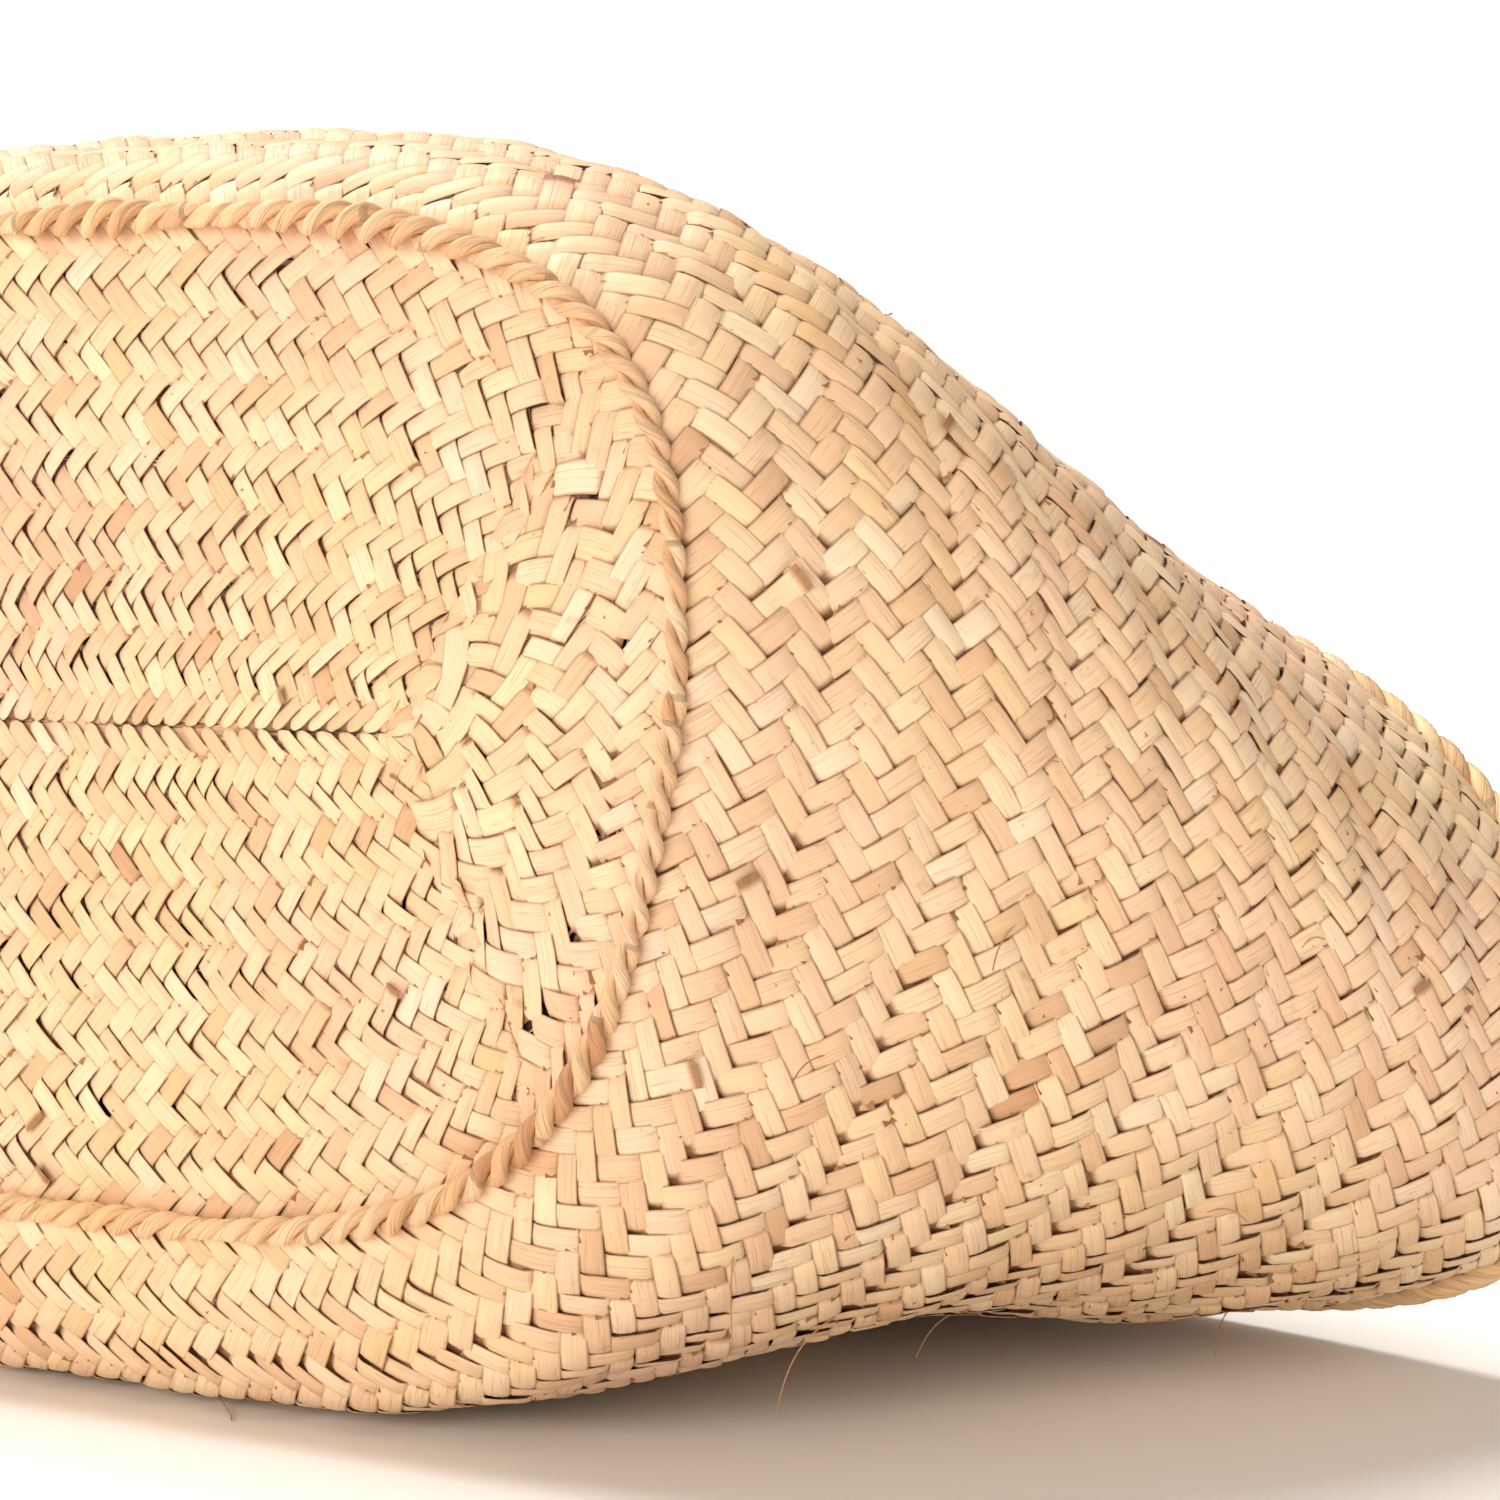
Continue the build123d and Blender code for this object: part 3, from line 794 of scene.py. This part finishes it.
def handlePieces(name, eye, half):
    points = half + [(-x, y, z) for x, y, z in reversed(half[:-1])]
    ropePiece(f"{name}Rope", [name], smoothLine(points), False, handleForm, ropeMaterial, name)
    a = np.linspace(0, 2 * np.pi, 120, endpoint=False)
    for side, word in ((-1, "Left"), (1, "Right")):
        ring = np.stack([np.full(120, side * eye[0]), eye[1] + eyeForm["radius"] * np.cos(a),
                         eye[2] + eyeForm["radius"] * np.sin(a)], -1)
        form = dict(eyeForm, side=(1.0, 0.0, 0.0), seed=eyeForm["seed"] + side)
        ropePiece(f"{name}Eye{word}", None, ring, True, form, ropeMaterial, name)


eyeReach = eyeForm["radius"]
frontEye, frontDrop = (60.0, 202.22, 186.13), 128.0
x, y, z = frontEye
frontHalf = [(x, y + eyeReach, z),
             (x + 0.6, y + eyeReach - 0.6, z - 0.14 * frontDrop),
             (x + 2.5, y + 2.5, z - 0.36 * frontDrop),
             (x + 1.0, y - 1.5, z - 0.62 * frontDrop),
             (0.8 * x, y - 3.0, z - 0.84 * frontDrop),
             (0.42 * x, y - 3.4, z - 0.965 * frontDrop),
             (0, y - 3.6, z - frontDrop)]
handlePieces("front_handle", frontEye, frontHalf)
backEye, backReach, level = (72.0, 201.26, 14.54), 132.0, 4.3  # this one lies on the floor
x, y, z = backEye
backHalf = [(x, y, z - eyeReach),
            (x + 0.5, y + 0.14 * backReach, level + 0.6),
            (x + 3.0, y + 0.38 * backReach, level),
            (x - 1.0, y + 0.64 * backReach, level),
            (0.76 * x, y + 0.86 * backReach, level),
            (0.38 * x, y + 0.97 * backReach, level),
            (0, y + backReach, level)]
handlePieces("back_handle", backEye, backHalf)
print("handles made")

# Stray fibres that stand off the weave
fibreForm = {"count": 34, "length": (7.0, 24.0), "thick": 0.16, "wallLength": 215.0, "seed": 31}


def strayFibres():
    rng = np.random.default_rng(fibreForm["seed"])
    curve = bpy.data.curves.new("strayFibres", "CURVE")
    curve.dimensions, curve.bevel_depth, curve.bevel_resolution = "3D", fibreForm["thick"] * mm, 1
    for _ in range(fibreForm["count"]):
        u, v = rng.random(), 0.15 + 0.83 * rng.random()
        length = rng.uniform(*fibreForm["length"])
        heading = rng.normal(0, 1, 2) * (1, 0.7)
        heading /= np.linalg.norm(heading)
        spline = curve.splines.new("NURBS")
        spline.points.add(4)
        for k, point in enumerate(spline.points):
            s = k / 4
            spread = length * s * (1 - 0.3 * s) / np.array([wall.lengthAt(v), fibreForm["wallLength"]])
            spot = np.array([u, v]) + heading * spread
            off = np.array([1.0 + length * 0.35 * s * s])
            at = wall.place(spot[:1], spot[1:], off)[0]
            droop = 0.25 * length * s * s
            at = np.maximum(at - (0, basketForm["centre"], droop), (-500, -500, 0.4))
            point.co = (*(at * mm), 1)
        spline.order_u, spline.use_endpoint_u, spline.resolution_u = 4, True, 6
    curve.materials.append(cordMaterial)
    piece = bpy.data.objects.new("strayFibres", curve)
    bpy.context.scene.collection.objects.link(piece)
    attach(piece, "basket")


strayFibres()
print("fibres added")

# Floor and light: a white floor under a soft light from above, a softer one from the front and a dim fill
studio = {"floor": (0.95, 0.935, 0.915), "behind": 1.08, "fill": 0.31, "fillColour": (1.0, 0.955, 0.90)}
bpy.ops.mesh.primitive_plane_add(size=60.0, location=(0, 0, 0))
floor = bpy.context.object
floor.name = "floor"
paper = bpy.data.materials.new("Paper")
paper.use_nodes = True
sockets = paper.node_tree.nodes["Principled BSDF"].inputs
sockets["Base Color"].default_value = (*studio["floor"], 1)
sockets["Roughness"].default_value = 0.9
sockets["Specular IOR Level"].default_value = 0.1
floor.data.materials.append(paper)

world = bpy.data.worlds.new("studio")
bpy.context.scene.world = world
world.use_nodes = True
tree = world.node_tree
back = tree.nodes["Background"]
path = tree.nodes.new("ShaderNodeLightPath")
seen = path.outputs["Is Camera Ray"]
tree.links.new(mixed(tree, seen, studio["fillColour"], (1.0, 1.0, 1.0)), back.inputs["Color"])
extra = maths(tree, "MULTIPLY", seen, studio["behind"] - studio["fill"])
strength = maths(tree, "ADD", extra, studio["fill"])
tree.links.new(strength, back.inputs["Strength"])


def softSun(name, fromPlace, strength, spread, colour):
    light = bpy.data.lights.new(name, "SUN")
    light.energy, light.angle, light.color = strength, math.radians(spread), colour
    lamp = bpy.data.objects.new(name, light)
    lamp.rotation_euler = Vector(fromPlace).to_track_quat("Z", "Y").to_euler()
    bpy.context.scene.collection.objects.link(lamp)


softSun("topLight", (-0.48, 0.08, 1.0), 4.0, 36.0, (1.0, 0.985, 0.95))
softSun("frontLight", (-0.15, -1.0, 0.30), 1.85, 36.0, (1.0, 0.95, 0.89))

# Camera
shot = {"azimuth": 28.0, "elevation": 4.0, "distance": 0.585, "lens": 78.0,
        "aim": (0.163, -0.165584, 0.142)}
camData = bpy.data.cameras.new("camera")
camData.lens, camData.sensor_width = shot["lens"], 36.0
camData.clip_start, camData.clip_end = 0.01, 100.0
camera = bpy.data.objects.new("camera", camData)
a, e = math.radians(shot["azimuth"]), math.radians(shot["elevation"])
away = Vector((math.sin(a) * math.cos(e), -math.cos(a) * math.cos(e), math.sin(e)))
camera.location = Vector(shot["aim"]) + away * shot["distance"]
camera.rotation_euler = away.to_track_quat("Z", "Y").to_euler()
bpy.context.scene.collection.objects.link(camera)
bpy.context.scene.camera = camera
bpy.context.scene.view_settings.view_transform = "Standard"
print("studio ready")
